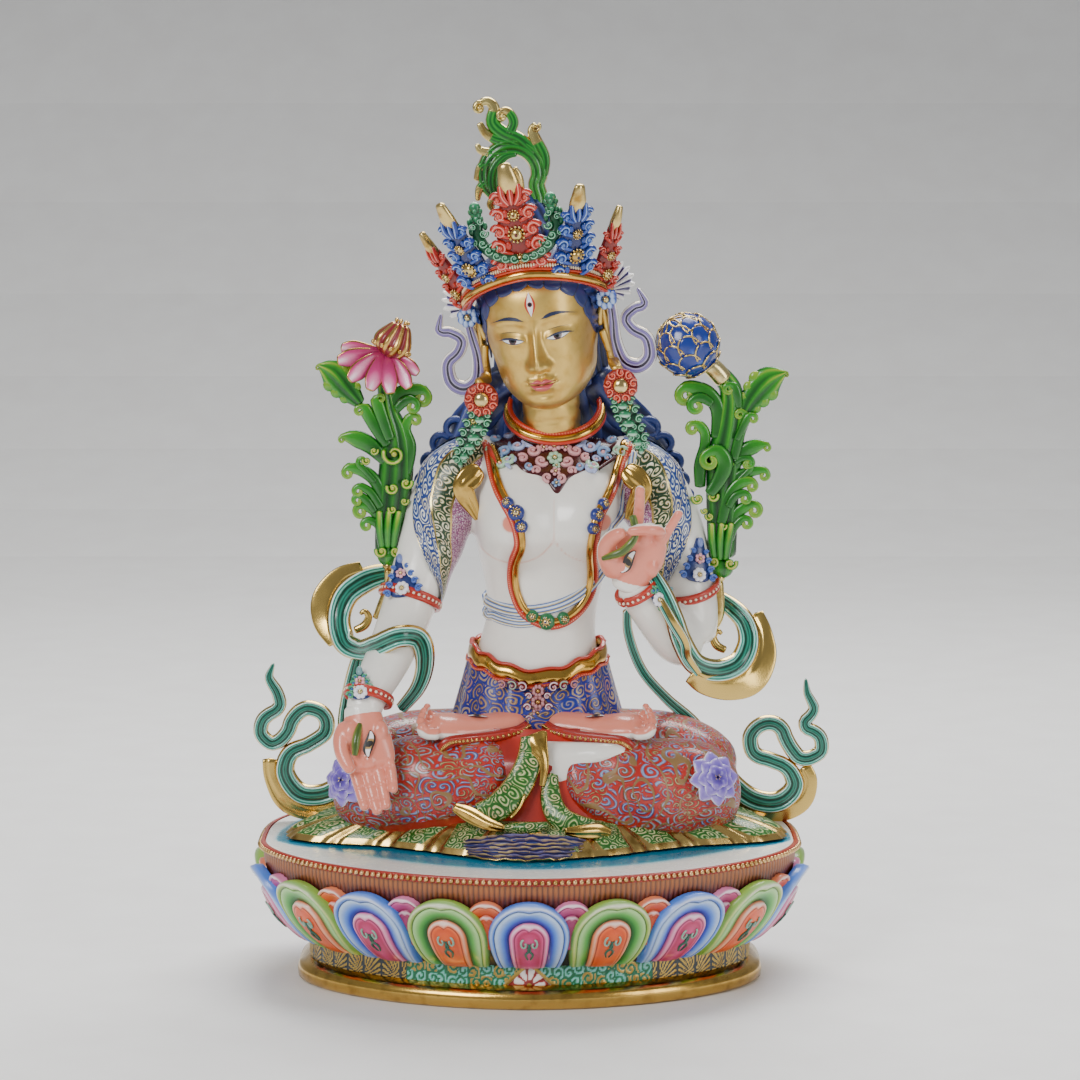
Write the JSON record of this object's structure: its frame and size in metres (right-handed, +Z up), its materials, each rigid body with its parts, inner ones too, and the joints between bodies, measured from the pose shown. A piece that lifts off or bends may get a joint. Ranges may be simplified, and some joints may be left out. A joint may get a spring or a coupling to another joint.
{
  "type": "tara figure",
  "caption": "Painted and gilded seated figure, one hand lowered and one raised, with a leafed crown, scarves and lotus sprays, on a D-shaped lotus pedestal.",
  "frame": {"origin": "centre of the pedestal's underside", "axes": "+Z up, the figure looks along -Y, and its left hand, the raised one, is on +X"},
  "size_m": [0.3406, 0.2298, 0.5063],
  "materials": {
    "lotus_paint": "glossy enamel paint in blue, green, pink and orange, with gilding",
    "white_enamel": "glossy porcelain-white paint, with painted cloth and a satin gilt face",
    "red_paint": "glossy red and blue paint with gilt edges",
    "green_paint": "glossy leaf-green paint with gilt tips",
    "teal_paint": "glossy teal paint with gilt borders",
    "gilding": "burnished gilding"
  },
  "bodies": {
    "root": {"lotus_pedestal": "lotus_paint", "figure": "white_enamel", "crown": "red_paint", "hair_finial": "green_paint", "right_earring": "red_paint", "left_earring": "red_paint", "right_lotus_spray": "green_paint", "left_lotus_spray": "green_paint", "right_scarf_loop": "teal_paint", "left_scarf_loop": "teal_paint", "right_scarf_end": "teal_paint", "left_scarf_end": "teal_paint"}
  },
  "joints": []
}
